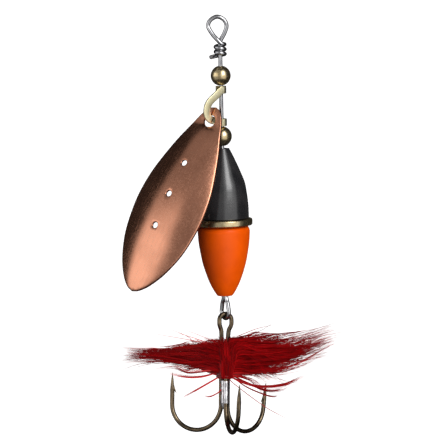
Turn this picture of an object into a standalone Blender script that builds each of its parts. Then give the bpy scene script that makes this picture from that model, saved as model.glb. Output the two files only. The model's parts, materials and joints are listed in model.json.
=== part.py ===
"""Inline spinner: a through-wire lure with two beads, a clevis and blade,
a turned body in three pieces and a treble hook dressed with hair.

Frame: metres, +Z up. The origin is the inner top of the line-tie loop, where
the line pulls, and the shaft runs straight down the Z axis. -Y is the front.
"""

import math

import bpy
import bmesh
from mathutils import Matrix, Vector

MM = 0.001
TURN = 2.0 * math.pi

# Shaft wire
WIRE_R = 0.425 * MM
RUN_GAP = 0.09 * MM                 # running clearance of a bore on the wire
BORE_R = WIRE_R + RUN_GAP
WIRE_SIDES = 10

# Line tie: a teardrop loop, closed by turns wrapped round the shaft
TIE_SHIFT = -0.47 * MM              # the loop's middle lies left of the shaft
TIE_HALF_WIDTH = 1.83 * MM
TIE_WIDEST_Z = -1.45 * MM
TIE_CROSS_Z = -4.3 * MM
WRAP_TOP_Z = -4.9 * MM
WRAP_PITCH = 0.95 * MM
WRAP_R = 2.0 * WIRE_R + 0.04 * MM
WRAP_START = math.radians(-75.0)
WRAP_END = math.radians(855.0)
TAG_LENGTH = 1.9 * MM

# Beads
BEAD_R = 2.0 * MM
UPPER_BEAD_Z = -11.3 * MM
LOWER_BEAD_Z = -23.4 * MM

# Clevis: a flat stamped C beside the shaft, each end rolled round the wire as a knuckle
CLEVIS_AZIMUTH = math.radians(-148.0)
STRIP_WIDTH = 1.5 * MM
STRIP_THICK = 0.45 * MM
KNUCKLE_R = 0.845 * MM              # middle of the rolled strip; also the C's distance from the axis
KNUCKLE_TURN = math.radians(280.0)
UPPER_KNUCKLE_Z = -14.1 * MM
LOWER_KNUCKLE_Z = -20.6 * MM
BOW_OUT = 2.2 * MM                  # the bow's centre, out from the shaft
BOW_Z = -18.35 * MM
BOW_R = 1.75 * MM
BOW_TOP = math.radians(15.0)        # the round stretch that the blade's hole slides along
BOW_END = math.radians(-90.0)
UPPER_ARM = (                       # out, z in millimetres
    (0.45, -14.16), (1.55, -15.05), (3.0, -16.15), (3.7, -17.1),
)
LOWER_ARM = ((1.3, -20.35), (0.45, -20.57))

# Blade: a dished sheet, hung through the clevis by its mount hole
BLADE_LENGTH = 40.2 * MM
BLADE_HALF_WIDTH = 8.3 * MM
BLADE_THICK = 0.6 * MM
BLADE_BULGE = 2.4 * MM
MOUNT_HOLE_R = 1.25 * MM
MOUNT_HOLE_FROM_TOP = 3.0 * MM
SMALL_HOLE_R = 0.6 * MM
SMALL_HOLE_FIRST = 12.9 * MM
SMALL_HOLE_PITCH = 6.8 * MM
BLADE_SEAT = math.radians(-62.0)    # where the hole rides on the bow
SEAT_OFFSET = 0.33 * MM             # the strip's middle lies this far above the hole's
BLADE_AZIMUTH = math.radians(-132.0)    # the way the blade's long axis flares
BLADE_FLARE = math.radians(25.8)    # long axis out from the shaft, in that plane
BLADE_LEAN = math.radians(-11.5)    # long axis sideways out of it
BLADE_TWIST = math.radians(-5.5)    # about its own long axis
BLADE_OUTLINE = (                   # share of the length from the top, share of the half width
    (0.0, 0.0), (0.012, 0.15), (0.05, 0.29), (0.12, 0.44), (0.24, 0.68), (0.40, 0.91),
    (0.53, 0.99), (0.64, 0.965), (0.75, 0.87), (0.86, 0.66), (0.94, 0.41), (0.985, 0.18),
    (1.0, 0.0),
)

# Body: black upper shell, brass collar, orange lower shell, all on one axis
UPPER_TOP_Z = -25.8 * MM
UPPER_END_Z = -39.75 * MM
UPPER_OUTLINE = (                   # radius, depth below the top
    (1.40, 0.0), (1.55, 0.25), (2.50, 2.2), (3.46, 4.4), (4.40, 6.8), (4.82, 9.2), (5.06, 11.6),
    (5.10, 13.7), (5.02, 13.95),
)
COLLAR_TOP_Z = -39.9 * MM
COLLAR_END_Z = -41.2 * MM
COLLAR_R = 5.8 * MM
COLLAR_EDGE = 0.25 * MM
LOWER_TOP_Z = -41.35 * MM
LOWER_OUTLINE = (                   # radius, depth below the top
    (4.45, 0.0), (4.95, 0.25), (5.20, 0.9), (5.20, 1.8), (5.00, 3.9), (4.35, 7.45), (3.35, 10.6),
    (2.50, 12.5), (1.72, 13.8), (1.50, 14.05),
)
TAIL_BORE_R = 1.02 * MM             # the wider bore that takes the shaft and its tail
TAIL_BORE_TOP_Z = -46.5 * MM

# Lower loop: the wire turns back into the body's wider bore
LOOP_AZIMUTH = math.radians(-60.0)
LEG_OFFSET = 0.45 * MM              # each leg, from the body's axis
JOG_Z = -47.2 * MM
TAIL_TOP_Z = -48.9 * MM
LOOP_HALF_WIDTH = 1.45 * MM
LOOP_EXIT_Z = -55.2 * MM            # where the legs leave the body
LOOP_BOTTOM_Z = -60.03 * MM         # centre of the wire
LOOP_SHOULDER = Vector((0.75 * LOOP_HALF_WIDTH, 0.0, 1.5 * MM))    # each leg, above the round

# Treble hook
HOOK_R = 0.45 * MM
HOOK_SIDES = 8
TREBLE_AZIMUTH = math.radians(-75.7)    # the single hook; the others are 120 degrees away
TREBLE_LEAN = math.radians(1.6)         # its foot hangs to the left
TREBLE_TIP = math.radians(-7.0)         # and to the front
SHANK_OFFSET = 0.80 * MM
EYE_TOP = WIRE_R + HOOK_R + 0.03 * MM   # above the loop wire's centre
EYE_HALF_WIDTH = 1.25 * MM
EYE_FOOT = -3.5 * MM
BEND_R = 5.1 * MM
FRONT_HOOK = (0.0, 6.0, 5.2, -17.5)     # turn from the single hook and tilt of the point in degrees,
RIGHT_HOOK = (120.0, 8.0, 5.4, -17.75)  # the point's length and the bend's centre below the pivot in mm
LEFT_HOOK = (-120.0, 0.0, 6.3, -17.4)
TAPER_LENGTH = 3.6 * MM
TIP_R = 0.06 * MM
BARB_ROOT = 2.0 * MM                    # from the tip
BARB_FOOT = 4.1 * MM
BARB_HEIGHT = 0.42 * MM
BARB_ROOT_R = 0.22 * MM
BARB_TIP_R = 0.07 * MM
SINGLE_TOP = -4.2 * MM

# Braze and thread, measured along the shanks
BRAZE_TOP = -12.3 * MM
BRAZE_END = -17.3 * MM
BRAZE_R = 1.38 * MM
BRAZE_BORE_R = HOOK_R + 0.035 * MM
THREAD_TOP = -10.6 * MM
THREAD_TURNS = 4
THREAD_PITCH = 0.36 * MM
THREAD_IN_R = 1.38 * MM
THREAD_OUT_R = 1.7 * MM

# Hair solids: each row is a section's distance out, its middle height, half height, half depth
HAIR_LEFT = (
    (2.0, -7.2, 2.8, 0.8), (5.0, -6.6, 2.9, 1.7), (10.0, -6.6, 2.6, 2.2), (15.0, -7.2, 1.9, 1.8),
    (19.0, -7.9, 0.8, 0.8),
)
HAIR_RIGHT = (
    (2.0, -7.2, 2.8, 0.8), (5.0, -6.9, 3.6, 1.8), (10.0, -6.6, 4.0, 2.4), (15.0, -5.7, 3.6, 2.2),
    (20.0, -4.0, 2.4, 1.3), (22.5, -3.3, 1.0, 0.6),
)
HAIR_LOW_LEFT = (
    (2.0, -12.4, 0.35, 0.35), (5.0, -13.7, 0.6, 0.6), (9.0, -15.4, 0.25, 0.25),
)
HAIR_LOW_RIGHT = (
    (2.0, -12.5, 0.45, 0.45), (6.0, -14.6, 1.3, 0.9), (11.5, -17.0, 1.3, 0.6), (13.5, -18.2, 0.3, 0.3),
)
HAIR_LEFT_AZIMUTH = math.radians(183.0)
HAIR_RIGHT_AZIMUTH = math.radians(-4.0)
HAIR_LOW_LEFT_AZIMUTH = math.radians(-160.0)
HAIR_LOW_RIGHT_AZIMUTH = math.radians(-14.0)
PAD_HALF_DEPTH = 0.75 * MM
PAD_HALF_WIDTH = 1.55 * MM
PAD_TOP = -3.6 * MM
PAD_END = -10.4 * MM
FRONT_PAD_OUT = 2.15 * MM
BACK_PAD_OUT = 1.95 * MM

STEEL = ((0.62, 0.62, 0.64), 0.18, 1.0)
BRASS = ((0.78, 0.60, 0.30), 0.16, 1.0)
PALE_BRASS = ((0.86, 0.76, 0.46), 0.22, 1.0)
COPPER = ((0.66, 0.32, 0.20), 0.30, 1.0)
BLACK_LACQUER = ((0.015, 0.015, 0.018), 0.12, 0.0)
ORANGE_LACQUER = ((0.85, 0.12, 0.02), 0.15, 0.0)
HOOK_BRONZE = ((0.16, 0.11, 0.07), 0.28, 1.0)
SILVER_BRAZE = ((0.72, 0.72, 0.70), 0.35, 1.0)
RED_THREAD = ((0.20, 0.01, 0.01), 0.6, 0.0)
RED_HAIR = ((0.32, 0.005, 0.01), 0.55, 0.0)


# ---------------------------------------------------------------- helpers

def clear_scene():
    for old in list(bpy.data.objects):
        bpy.data.objects.remove(old, do_unlink=True)


def material(name, look):
    colour, roughness, metallic = look
    made = bpy.data.materials.new(name)
    made.use_nodes = True
    shader = made.node_tree.nodes["Principled BSDF"]
    shader.inputs["Base Color"].default_value = (*colour, 1.0)
    shader.inputs["Roughness"].default_value = roughness
    shader.inputs["Metallic"].default_value = metallic
    return made


def finish(mesh_maker, name, look, parent=None, sharp=40.0):
    """Make a named object from a filled bmesh, with its material."""
    bmesh.ops.recalc_face_normals(mesh_maker, faces=mesh_maker.faces)
    mesh = bpy.data.meshes.new(name)
    mesh_maker.to_mesh(mesh)
    mesh_maker.free()
    mesh.shade_smooth()
    mesh.set_sharp_from_angle(angle=math.radians(sharp))
    mesh.materials.append(material(name, look))
    made = bpy.data.objects.new(name, mesh)
    bpy.context.scene.collection.objects.link(made)
    made.parent = parent
    return made


def pivot(name, location, tip=0.0, lean=0.0, turn=0.0):
    """An empty on a joint: tipped about X, leant about Y and turned about Z."""
    made = bpy.data.objects.new(name, None)
    bpy.context.scene.collection.objects.link(made)
    made.location = location
    made.rotation_euler = (tip, lean, turn)
    return made


def cutter(name, mesh_maker, parent=None):
    made = finish(mesh_maker, name, STEEL, parent)
    made.hide_render = True
    made.display_type = "WIRE"
    return made


def boolean(target, tool, operation):
    made = target.modifiers.new(operation.title(), "BOOLEAN")
    made.operation = operation
    made.object = tool
    made.solver = "EXACT"


def around(radius, azimuth, z=0.0):
    return Vector((radius * math.cos(azimuth), radius * math.sin(azimuth), z))


def smooth_curve(points, steps):
    """Points on a Catmull-Rom curve through the given points."""
    knots = [Vector(point) for point in points]
    knots = [2 * knots[0] - knots[1], *knots, 2 * knots[-1] - knots[-2]]
    curve = []
    for index in range(1, len(knots) - 2):
        before, start, end, after = knots[index - 1:index + 3]
        for step in range(steps):
            t = step / steps
            curve.append(0.5 * (
                2 * start + (end - before) * t
                + (2 * before - 5 * start + 4 * end - after) * t ** 2
                + (3 * start - before - 3 * end + after) * t ** 3
            ))
    curve.append(knots[-2])
    return curve


def sweep(path, radii, sides):
    """A round bar along a path, its ring carried along without twist."""
    if not isinstance(radii, (list, tuple)):
        radii = [radii] * len(path)
    bar = bmesh.new()
    tangents = [
        (path[min(index + 1, len(path) - 1)] - path[max(index - 1, 0)]).normalized()
        for index in range(len(path))
    ]
    across = tangents[0].orthogonal().normalized()
    rings = []
    for index, centre in enumerate(path):
        if index:
            across = tangents[index - 1].rotation_difference(tangents[index]) @ across
        other = tangents[index].cross(across)
        rings.append([
            bar.verts.new(centre + radii[index] * (
                math.cos(TURN * side / sides) * across + math.sin(TURN * side / sides) * other
            ))
            for side in range(sides)
        ])
    skin(bar, rings)
    return bar


def skin(shape, rings, close=False):
    """Faces between neighbouring rings, with end caps unless it closes on itself."""
    count = len(rings[0])
    pairs = list(zip(rings, rings[1:]))
    if close:
        pairs.append((rings[-1], rings[0]))
    else:
        shape.faces.new(rings[0])
        shape.faces.new(rings[-1])
    for lower, upper in pairs:
        for side in range(count):
            after = (side + 1) % count
            shape.faces.new((lower[side], lower[after], upper[after], upper[side]))


def turned(outline, segments):
    """A ring turned about Z from a closed outline of (radius, z)."""
    shape = bmesh.new()
    rings = [
        [shape.verts.new(around(radius, TURN * step / segments, z)) for radius, z in outline]
        for step in range(segments)
    ]
    skin(shape, rings, close=True)
    return shape


def rod(radius, start, end, sides):
    return sweep([Vector(start), Vector(end)], radius, sides)


# ---------------------------------------------------------------- wire shaft

def tie_loop():
    """The line-tie loop, from the shaft's side over the top and across the front."""
    middle = TIE_SHIFT
    half = TIE_HALF_WIDTH
    front = -2.0 * WIRE_R - 0.04 * MM
    knots = (
        (0.0, 0.0, WRAP_TOP_Z - 0.4 * MM),
        (0.12 * MM, 0.0, TIE_CROSS_Z),
        (0.85 * MM, 0.0, -3.0 * MM),
        (middle + half, 0.0, TIE_WIDEST_Z),
        (middle + 0.72 * half, 0.0, -0.2 * MM),
        (middle, 0.0, WIRE_R),
        (middle - 0.72 * half, 0.0, -0.2 * MM),
        (middle - half, 0.0, TIE_WIDEST_Z),
        (middle - 0.55 * half, 0.45 * front, -3.0 * MM),
        (-0.55 * MM, 0.92 * front, TIE_CROSS_Z + 0.2 * MM),
    )
    return smooth_curve(knots, 4)


def wraps():
    """The closing turns, going down round the shaft, and the tag end that leaves them."""
    turns = []
    steps = 34
    for step in range(steps + 1):
        angle = WRAP_START + (WRAP_END - WRAP_START) * step / steps
        drop = WRAP_PITCH * (angle - WRAP_START) / TURN
        turns.append(around(WRAP_R, angle, WRAP_TOP_Z - drop))
    leave = Vector((-math.sin(WRAP_END), math.cos(WRAP_END), -0.12)).normalized()
    turns.append(turns[-1] + 0.45 * TAG_LENGTH * leave)
    turns.append(turns[-2] + TAG_LENGTH * leave)
    return turns


def lower_loop():
    """Down the body, round the loop that carries the hook, and back up inside."""
    across = around(1.0, LOOP_AZIMUTH)
    up = Vector((0.0, 0.0, 1.0))
    bend_z = LOOP_BOTTOM_Z + LOOP_HALF_WIDTH
    knots = [
        -LEG_OFFSET * across + (JOG_Z - 3.0 * WIRE_R) * up,
        -LEG_OFFSET * across + LOOP_EXIT_Z * up,
        -LOOP_SHOULDER.x * across + (bend_z + LOOP_SHOULDER.z) * up,
    ]
    outward = smooth_curve(knots, 3)
    bend = [
        LOOP_HALF_WIDTH * (-math.cos(angle) * across - math.sin(angle) * up) + bend_z * up
        for angle in (math.pi * step / 12 for step in range(13))
    ]
    back = [
        Vector((-point.x, -point.y, point.z)) for point in reversed(outward)
    ]
    back[-1].z = TAIL_TOP_Z
    return outward + bend + back


def wire_shaft():
    loop = tie_loop()
    loop.reverse()                      # from the front crossing back to the shaft
    tail_to_tie = list(reversed(wraps())) + loop
    straight = [
        Vector((0.0, 0.0, -12.0 * MM)),
        Vector((0.0, 0.0, JOG_Z + 0.4 * MM)),
    ]
    path = tail_to_tie + straight + lower_loop()
    finish(sweep(path, WIRE_R, WIRE_SIDES), "wire_shaft", STEEL)


# ---------------------------------------------------------------- beads

def bead(name, height):
    """A drilled ball."""
    rim = math.acos(BORE_R / BEAD_R)
    steps = 12
    outline = [
        (BEAD_R * math.cos(angle), BEAD_R * math.sin(angle))
        for angle in (rim - 2.0 * rim * step / steps for step in range(steps + 1))
    ]
    ball = finish(turned(outline, 24), name, BRASS, sharp=60.0)
    ball.location.z = height


# ---------------------------------------------------------------- clevis

def strip_path():
    """Middle line of the clevis strip in its own frame, with the way out of its face at each point."""
    roll_steps = 14
    out_of_face = Vector((0.0, 1.0, 0.0))

    def knuckle(z):
        """From the free end of the roll round to where it runs out into the C."""
        stops = []
        for step in range(roll_steps):
            angle = 0.25 * TURN + KNUCKLE_TURN * (1.0 - step / roll_steps)
            spoke = around(1.0, angle)
            stops.append((KNUCKLE_R * spoke + Vector((0.0, 0.0, z)), spoke))
        return stops

    bow_steps = 8
    bow = [
        (BOW_OUT / MM + BOW_R / MM * math.cos(angle), BOW_Z / MM + BOW_R / MM * math.sin(angle))
        for angle in (BOW_TOP + (BOW_END - BOW_TOP) * step / bow_steps
                      for step in range(bow_steps + 1))
    ]
    knots = [
        (0.0, UPPER_KNUCKLE_Z / MM), *UPPER_ARM, *bow, *LOWER_ARM, (0.0, LOWER_KNUCKLE_Z / MM),
    ]
    line = smooth_curve([(out * MM, KNUCKLE_R, z * MM) for out, z in knots], 2)
    flat = [(point, out_of_face) for point in line]
    return knuckle(UPPER_KNUCKLE_Z) + flat + list(reversed(knuckle(LOWER_KNUCKLE_Z)))


def clevis(frame):
    strip = bmesh.new()
    path = strip_path()
    rings = []
    for index, (point, face) in enumerate(path):
        before = path[max(index - 1, 0)][0]
        after = path[min(index + 1, len(path) - 1)][0]
        across = (after - before).normalized().cross(face)
        rings.append([
            strip.verts.new(
                point + up * face * STRIP_THICK / 2 + left * across * STRIP_WIDTH / 2
            )
            for up, left in ((1, -1), (1, 1), (-1, 1), (-1, -1))
        ])
    skin(strip, rings)
    return finish(strip, "clevis", PALE_BRASS, frame, sharp=30.0)


# ---------------------------------------------------------------- blade

def blade_width(share):
    """Half width at a share of the length, read from the outline's smooth curve."""
    curve = smooth_curve([(x, y, 0.0) for x, y in BLADE_OUTLINE], 8)
    for before, after in zip(curve, curve[1:]):
        if before.x <= share <= after.x:
            part = (share - before.x) / max(after.x - before.x, 1e-9)
            return BLADE_HALF_WIDTH * (before.y + (after.y - before.y) * part)
    return 0.0


def blade_rise(share, across):
    """Height of the dish: flat at the neck and at the rim, full in the middle."""
    neck = 0.10
    swell = math.sin(math.pi * min(max((share - neck) / (1.0 - neck), 0.0), 1.0) ** 0.85)
    return BLADE_BULGE * max(swell, 0.0) ** 0.8 * (1.0 - across ** 2)


def blade_frame():
    """The blade's rest pose in the clevis frame: x across, y down its length, z out of its face."""
    turn = Matrix.Rotation(BLADE_AZIMUTH - CLEVIS_AZIMUTH, 3, "Z")
    down = Vector((
        math.sin(BLADE_FLARE) * math.cos(BLADE_LEAN),
        math.sin(BLADE_LEAN),
        -math.cos(BLADE_FLARE) * math.cos(BLADE_LEAN),
    ))
    face = Vector((1.0, 0.0, 0.0)) - down.x * down
    face.normalize()
    face = Matrix.Rotation(BLADE_TWIST, 3, down) @ face
    across = down.cross(face)
    frame = (turn @ Matrix((across, down, face)).transposed()).to_4x4()
    seat = Vector((
        BOW_OUT + BOW_R * math.cos(BLADE_SEAT), KNUCKLE_R, BOW_Z + BOW_R * math.sin(BLADE_SEAT),
    ))
    frame.translation = seat + (SEAT_OFFSET - MOUNT_HOLE_FROM_TOP) * (turn @ down)
    return frame


def blade(frame):
    rows, columns = 30, 10
    sheet = bmesh.new()
    faces = {}
    for skin_side in (1, -1):
        grid = []
        for row in range(rows + 1):
            share = 0.5 - 0.5 * math.cos(math.pi * (0.02 + 0.96 * row / rows))
            half = blade_width(share)
            grid.append([
                sheet.verts.new((
                    half * across,
                    share * BLADE_LENGTH,
                    blade_rise(share, across) + skin_side * BLADE_THICK / 2,
                ))
                for across in (2.0 * column / columns - 1.0 for column in range(columns + 1))
            ])
        faces[skin_side] = grid
    for grid in faces.values():
        for upper, lower in zip(grid, grid[1:]):
            for column in range(columns):
                sheet.faces.new((
                    upper[column], upper[column + 1], lower[column + 1], lower[column],
                ))

    def rim(grid):
        left = [row[0] for row in grid[1:-1]]
        right = [row[-1] for row in grid[1:-1]]
        return grid[0] + right + list(reversed(grid[-1])) + list(reversed(left))

    front, back = rim(faces[1]), rim(faces[-1])
    for index in range(len(front)):
        after = (index + 1) % len(front)
        sheet.faces.new((front[index], front[after], back[after], back[index]))

    made = finish(sheet, "blade", COPPER, frame, sharp=35.0)
    rest = blade_frame()
    swing = Vector((BOW_OUT, KNUCKLE_R, BOW_Z))
    made.data.transform(Matrix.Translation(-swing) @ rest)
    made.location = swing
    holes = [(MOUNT_HOLE_FROM_TOP, MOUNT_HOLE_R, 24)] + [
        (SMALL_HOLE_FIRST + SMALL_HOLE_PITCH * step, SMALL_HOLE_R, 14) for step in range(3)
    ]
    for step, (down, radius, sides) in enumerate(holes):
        rise = blade_rise(down / BLADE_LENGTH, 0.0)
        depth = 2.0 * MM
        drill = rod(radius, (0.0, down, rise - depth), (0.0, down, rise + depth), sides)
        drill.transform(rest)
        boolean(made, cutter(f"blade_drill_{step}", drill, frame), "DIFFERENCE")
    return made


# ---------------------------------------------------------------- body

def shell_outline(rows, top, bores):
    """A closed outline: the smooth outer side going down, then the bore going up."""
    outer = smooth_curve([(radius * MM, top - depth * MM, 0.0) for radius, depth in rows], 2)
    return [(point.x, point.y) for point in outer] + bores


def body():
    upper = shell_outline(UPPER_OUTLINE, UPPER_TOP_Z, [
        (BORE_R, UPPER_END_Z + 0.05 * MM), (BORE_R, UPPER_TOP_Z),
    ])
    finish(turned(upper, 32), "body_upper", BLACK_LACQUER)
    collar = [
        (BORE_R, COLLAR_TOP_Z),
        (COLLAR_R - COLLAR_EDGE, COLLAR_TOP_Z),
        (COLLAR_R, COLLAR_TOP_Z - COLLAR_EDGE),
        (COLLAR_R, COLLAR_END_Z + COLLAR_EDGE),
        (COLLAR_R - COLLAR_EDGE, COLLAR_END_Z),
        (BORE_R, COLLAR_END_Z),
    ]
    finish(turned(collar, 36), "body_collar", BRASS)
    lower = shell_outline(LOWER_OUTLINE, LOWER_TOP_Z, [
        (TAIL_BORE_R, LOWER_TOP_Z - LOWER_OUTLINE[-1][1] * MM),
        (TAIL_BORE_R, TAIL_BORE_TOP_Z),
        (BORE_R, TAIL_BORE_TOP_Z),
        (BORE_R, LOWER_TOP_Z),
    ])
    finish(turned(lower, 32), "body_lower", ORANGE_LACQUER)


# ---------------------------------------------------------------- treble hook

def hook_azimuth(hook):
    return TREBLE_AZIMUTH + math.radians(hook[0])


def point_rise(hook):
    """The way a hook's point runs, up and a little outward."""
    tilt = math.radians(hook[1])
    return around(math.sin(tilt), hook_azimuth(hook), math.cos(tilt))


def hook_path(hook):
    """From the bottom of the shank round the bend to the tip."""
    azimuth = hook_azimuth(hook)
    tilt = math.radians(hook[1])
    bend_z = hook[3] * MM
    bend_out = SHANK_OFFSET + BEND_R
    steps = 14
    arc = [
        around(bend_out + BEND_R * math.cos(angle), azimuth, bend_z + BEND_R * math.sin(angle))
        for angle in (-math.pi + (math.pi - tilt) * step / steps for step in range(steps + 1))
    ]
    rise = point_rise(hook)
    root = arc[-1] + (hook[2] * MM - TAPER_LENGTH) * rise
    taper = [root + TAPER_LENGTH * share * rise for share in (0.0, 0.35, 0.7, 1.0)]
    radii = [HOOK_R] * (len(arc) + 1) + [0.80 * HOOK_R, 0.48 * HOOK_R, TIP_R]
    return arc + taper, radii


def barb(name, hook, frame):
    """A spur lifted from the inner side of the point, its free end down."""
    path, _ = hook_path(hook)
    tilt = math.radians(hook[1])
    rise = point_rise(hook)
    inward = around(-math.cos(tilt), hook_azimuth(hook), math.sin(tilt))
    spur = sweep(
        [
            path[-1] - BARB_ROOT * rise + 0.1 * HOOK_R * inward,
            path[-1] - BARB_FOOT * rise + (HOOK_R + BARB_HEIGHT) * inward,
        ],
        [BARB_ROOT_R, BARB_TIP_R], 6,
    )
    return cutter(name, spur, frame)


def eye_side(sign):
    """One side of the eye, from the shank's head up to where the round top starts."""
    side = TREBLE_AZIMUTH + math.pi / 2
    back = around(-0.5 * SHANK_OFFSET, TREBLE_AZIMUTH)
    foot = sign * math.cos(math.pi / 6) * SHANK_OFFSET
    knots = [
        back + around(foot, side, EYE_FOOT),
        0.7 * back + around(sign * 0.8 * MM, side, 0.68 * EYE_FOOT),
        around(sign * 0.96 * EYE_HALF_WIDTH, side, 0.38 * EYE_FOOT),
        around(sign * EYE_HALF_WIDTH, side, EYE_TOP - EYE_HALF_WIDTH),
    ]
    return smooth_curve(knots, 3)


def double_hook(frame):
    """One wire: a hook, its shank, round the eye, the other shank and hook."""
    side = TREBLE_AZIMUTH + math.pi / 2
    right_path, radii = hook_path(RIGHT_HOOK)
    left_path, _ = hook_path(LEFT_HOOK)
    eye = [
        around(EYE_HALF_WIDTH * math.cos(angle), side,
               EYE_TOP - EYE_HALF_WIDTH + EYE_HALF_WIDTH * math.sin(angle))
        for angle in (math.pi * step / 12 for step in range(1, 12))
    ]
    path = (
        list(reversed(right_path)) + eye_side(1) + eye + list(reversed(eye_side(-1))) + left_path
    )
    plain = len(path) - 2 * len(radii)
    made = finish(
        sweep(path, list(reversed(radii)) + [HOOK_R] * plain + radii, HOOK_SIDES),
        "double_hook", HOOK_BRONZE, frame,
    )
    for name, hook in (("barb_right", RIGHT_HOOK), ("barb_left", LEFT_HOOK)):
        boolean(made, barb(name, hook, frame), "UNION")
    return made


def single_hook(frame):
    path, radii = hook_path(FRONT_HOOK)
    head = around(SHANK_OFFSET, TREBLE_AZIMUTH, SINGLE_TOP)
    made = finish(
        sweep([head, *path], [HOOK_R, *radii], HOOK_SIDES), "single_hook", HOOK_BRONZE, frame,
    )
    boolean(made, barb("barb_front", FRONT_HOOK, frame), "UNION")
    return made


def hook_braze(frame):
    """Braze run round the three shanks, above the bends."""
    length = BRAZE_TOP - BRAZE_END
    shape = [(0.0, 0.93), (0.12, 1.0), (0.88, 1.0), (1.0, 0.93)]
    path = [Vector((0.0, 0.0, BRAZE_TOP - share * length)) for share, _ in shape]
    made = finish(
        sweep(path, [BRAZE_R * width for _, width in shape], 24), "hook_braze", SILVER_BRAZE, frame,
    )
    for step in range(3):
        azimuth = TREBLE_AZIMUTH + step * TURN / 3
        drill = rod(
            BRAZE_BORE_R,
            around(SHANK_OFFSET, azimuth, BRAZE_TOP + length),
            around(SHANK_OFFSET, azimuth, BRAZE_END - length),
            16,
        )
        boolean(made, cutter(f"shank_bore_{step}", drill, frame), "DIFFERENCE")
    return made


def tying_thread(frame):
    """Turns of thread that bind the hair to the shanks, joined as one band."""
    crown = THREAD_OUT_R - 0.1 * MM
    outline = []
    for turn in range(THREAD_TURNS):
        top = THREAD_TOP - turn * THREAD_PITCH
        outline += [(crown, top), (THREAD_OUT_R, top - 0.5 * THREAD_PITCH)]
    end = THREAD_TOP - THREAD_TURNS * THREAD_PITCH
    outline += [(crown, end), (THREAD_IN_R, end), (THREAD_IN_R, THREAD_TOP)]
    return finish(turned(outline, 20), "tying_thread", RED_THREAD, frame)


# ---------------------------------------------------------------- hair

def hair_bundle(name, rows, azimuth, frame):
    """A bundle that runs outward from the shanks: elliptical sections, round at both ends."""
    sides = 10
    out_dir = around(1.0, azimuth)
    depth_dir = around(1.0, azimuth + math.pi / 2)
    shape = bmesh.new()
    rings = []
    for row in rows:
        out, height, half_height, half_depth = (MM * value for value in row)
        rings.append([
            shape.verts.new(
                out * out_dir
                + Vector((0.0, 0.0, height + half_height * math.sin(TURN * side / sides)))
                + half_depth * math.cos(TURN * side / sides) * depth_dir
            )
            for side in range(sides)
        ])
    skin(shape, rings)
    return finish(shape, name, RED_HAIR, frame, sharp=60.0)


def hair_pad(name, out, frame):
    """Hair lying along the shanks: a flattened spindle, clear of the steel."""
    sides, steps = 12, 6
    middle = around(out, TREBLE_AZIMUTH)
    depth_dir = around(1.0, TREBLE_AZIMUTH)
    width_dir = around(1.0, TREBLE_AZIMUTH + math.pi / 2)
    shape = bmesh.new()
    rings = []
    for step in range(steps + 1):
        share = step / steps
        swell = 0.45 + 0.55 * math.sin(math.pi * (0.06 + 0.88 * share))
        height = PAD_TOP + (PAD_END - PAD_TOP) * share
        rings.append([
            shape.verts.new(
                middle + Vector((0.0, 0.0, height))
                + swell * PAD_HALF_DEPTH * math.cos(TURN * side / sides) * depth_dir
                + swell * PAD_HALF_WIDTH * math.sin(TURN * side / sides) * width_dir
            )
            for side in range(sides)
        ])
    skin(shape, rings)
    return finish(shape, name, RED_HAIR, frame, sharp=60.0)


# ---------------------------------------------------------------- the lure

def build():
    clear_scene()
    wire_shaft()
    bead("upper_bead", UPPER_BEAD_Z)
    bead("lower_bead", LOWER_BEAD_Z)
    clevis_frame = pivot("clevis_frame", (0.0, 0.0, 0.0), turn=CLEVIS_AZIMUTH)
    clevis(clevis_frame)
    blade(clevis_frame)
    body()
    treble = pivot("treble_pivot", (0.0, 0.0, LOOP_BOTTOM_Z), tip=TREBLE_TIP, lean=TREBLE_LEAN)
    double_hook(treble)
    single_hook(treble)
    hook_braze(treble)
    tying_thread(treble)
    hair_bundle("hair_left", HAIR_LEFT, HAIR_LEFT_AZIMUTH, treble)
    hair_bundle("hair_right", HAIR_RIGHT, HAIR_RIGHT_AZIMUTH, treble)
    hair_bundle("hair_low_left", HAIR_LOW_LEFT, HAIR_LOW_LEFT_AZIMUTH, treble)
    hair_bundle("hair_low_right", HAIR_LOW_RIGHT, HAIR_LOW_RIGHT_AZIMUTH, treble)
    hair_pad("hair_front", FRONT_PAD_OUT, treble)
    hair_pad("hair_back", -BACK_PAD_OUT, treble)


build()
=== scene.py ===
"""Inline spinner, the looks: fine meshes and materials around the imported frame.

Metres, +Z up, the viewer at -Y. Each hard piece repeats its solid's own formulas at a
finer step, rides the same body and stands for the same node. The hair is loose strands,
where the solids are plain bundles.
"""

import json
import math
import random
from collections import namedtuple

import bmesh
import bpy
from mathutils import Euler, Matrix, Vector, noise
from mathutils.geometry import delaunay_2d_cdt


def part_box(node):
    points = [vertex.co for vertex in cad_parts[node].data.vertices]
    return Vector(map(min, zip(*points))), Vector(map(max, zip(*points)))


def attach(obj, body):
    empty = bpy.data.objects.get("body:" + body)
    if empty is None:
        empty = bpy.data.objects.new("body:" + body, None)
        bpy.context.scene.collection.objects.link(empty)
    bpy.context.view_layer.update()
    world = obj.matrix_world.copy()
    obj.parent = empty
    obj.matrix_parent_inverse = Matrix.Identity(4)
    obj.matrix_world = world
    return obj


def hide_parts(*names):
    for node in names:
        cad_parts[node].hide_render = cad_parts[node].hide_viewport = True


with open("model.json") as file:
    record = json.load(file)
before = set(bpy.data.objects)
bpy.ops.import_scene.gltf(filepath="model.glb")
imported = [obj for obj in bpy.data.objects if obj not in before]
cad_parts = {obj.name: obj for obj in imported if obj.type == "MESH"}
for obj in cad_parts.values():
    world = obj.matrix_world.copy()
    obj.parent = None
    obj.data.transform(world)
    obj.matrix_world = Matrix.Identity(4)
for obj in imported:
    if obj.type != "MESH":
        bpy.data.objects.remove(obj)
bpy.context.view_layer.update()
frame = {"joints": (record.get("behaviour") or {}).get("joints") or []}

MM = 0.001
TURN = 2.0 * math.pi
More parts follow.
